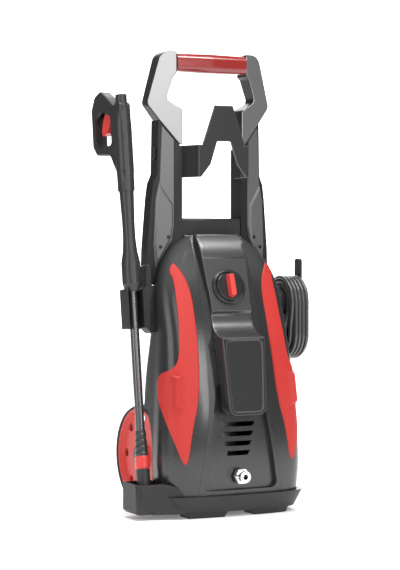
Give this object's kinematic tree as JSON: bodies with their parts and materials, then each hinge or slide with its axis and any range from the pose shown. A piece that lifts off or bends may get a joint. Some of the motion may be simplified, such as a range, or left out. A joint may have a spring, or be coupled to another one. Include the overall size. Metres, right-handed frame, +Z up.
{
  "type": "pressure washer",
  "caption": "Upright electric pressure washer with a black body, red side panels, telescopic handle, two wheels, a spray lance in its clip and a coiled power cord.",
  "frame": {"origin": "on the floor under the middle of the machine without its cord", "axes": "+Z up, +X to the right of someone facing the front, +Y towards the back"},
  "size_m": [0.4106, 0.316, 0.876],
  "materials": {
    "shell_black": "satin",
    "panel_red": "gloss",
    "base_black": "matt",
    "console_grey": "satin metallic",
    "knob_black": "satin",
    "knob_red": "satin",
    "frame_black": "satin",
    "fascia_grey": "satin silver",
    "handle_silver": "satin silver",
    "grip_red": "soft touch",
    "chrome": "polished",
    "brass": "machined",
    "steel": "brushed",
    "lance_tube": "dark satin",
    "lance_black": "satin",
    "trigger_red": "satin",
    "tyre_black": "matt",
    "hub_red": "satin",
    "cord_black": "matt",
    "motor": "cast"
  },
  "bodies": {
    "machine": {"base_tray": "base_black", "lance_pocket": "base_black", "front_cover": "shell_black", "rear_housing": "shell_black", "side_panel_left": "panel_red", "side_panel_right": "panel_red", "console_panel": "console_grey", "switch_bezel": "knob_black", "switch_box": "knob_black", "upright_left": "frame_black", "upright_right": "frame_black", "fascia_left": "fascia_grey", "fascia_right": "fascia_grey", "hose_hook": "frame_black", "cross_bar": "frame_black", "axle": "steel", "lance_clip": "base_black", "outlet_coupling": "chrome", "inlet_coupling": "brass", "motor_body": "motor", "pump_body": "motor", "cord_bracket": "base_black", "cord_gland": "cord_black", "cord_coil": "cord_black", "cord_tail": "cord_black", "cord_lead": "cord_black", "cord_plug": "cord_black"},
    "handle": {"handle_hoop": "handle_silver", "hand_grip": "grip_red"},
    "latch_left": {"latch_button_left": "chrome"},
    "latch_right": {"latch_button_right": "chrome"},
    "knob": {"switch_knob": "knob_black", "knob_grip": "knob_red"},
    "wheel_left": {"tyre_left": "tyre_black", "hub_left": "hub_red", "hub_cap_left": "lance_black"},
    "wheel_right": {"tyre_right": "tyre_black", "hub_right": "hub_red", "hub_cap_right": "lance_black"},
    "lance": {"lance_tube": "lance_tube", "nozzle_body": "lance_black", "lance_collar": "lance_black", "lance_extension": "lance_black", "gun_shell_left": "lance_black", "gun_shell_right": "lance_black", "gun_valve": "brass", "trigger_pin": "steel"},
    "trigger": {"trigger": "trigger_red"},
    "nozzle": {"nozzle_tip": "lance_black", "nozzle_ring": "trigger_red"},
    "rotor": {"motor_shaft": "steel", "motor_fan": "lance_black"},
    "cord_release": {"cord_hook": "base_black"}
  },
  "joints": [
    {"name": "handle_slide", "type": "slide", "parent": "machine", "child": "handle", "axis": [0, 0, 1], "range_m": [0, 0.1]},
    {"name": "latch_left_push", "type": "slide", "parent": "machine", "child": "latch_left", "axis": [1, 0, 0], "range_m": [0, 0.004], "stiffness_N_per_m": 400},
    {"name": "latch_right_push", "type": "slide", "parent": "machine", "child": "latch_right", "axis": [-1, 0, 0], "range_m": [0, 0.004], "stiffness_N_per_m": 400},
    {"name": "knob_turn", "type": "hinge", "parent": "machine", "child": "knob", "pos_m": [-0.0033, -0.07863, 0.428], "axis": [0, -0.9506, 0.3104], "range_deg": [-90, 0]},
    {"name": "wheel_left_spin", "type": "hinge", "parent": "machine", "child": "wheel_left", "pos_m": [-0.1113, 0.058, 0.1], "axis": [1, 0, 0], "continuous": true},
    {"name": "wheel_right_spin", "type": "hinge", "parent": "machine", "child": "wheel_right", "pos_m": [0.1047, 0.058, 0.1], "axis": [1, 0, 0], "continuous": true},
    {"name": "lance_lift", "type": "slide", "parent": "machine", "child": "lance", "axis": [0, 0.1305, 0.9914], "range_m": [0, 0.43]},
    {"name": "trigger_pull", "type": "hinge", "parent": "lance", "child": "trigger", "pos_m": [-0.17885, 0.06168, 0.75715], "axis": [0.9945, 0.1036, -0.0136], "range_deg": [0, 12], "stiffness_Nm_per_rad": 0.5},
    {"name": "nozzle_turn", "type": "hinge", "parent": "lance", "child": "nozzle", "pos_m": [-0.1753, -0.07, 0.016], "axis": [0, 0.1305, 0.9914], "range_deg": [0, 180]},
    {"name": "rotor_spin", "type": "hinge", "parent": "machine", "child": "rotor", "pos_m": [-0.0033, -0.017, 0.19], "axis": [0, 0, 1], "continuous": true},
    {"name": "cord_hook_turn", "type": "hinge", "parent": "machine", "child": "cord_release", "pos_m": [0.1987, 0.01, 0.397], "axis": [1, 0, 0], "range_deg": [0, 180]}
  ]
}
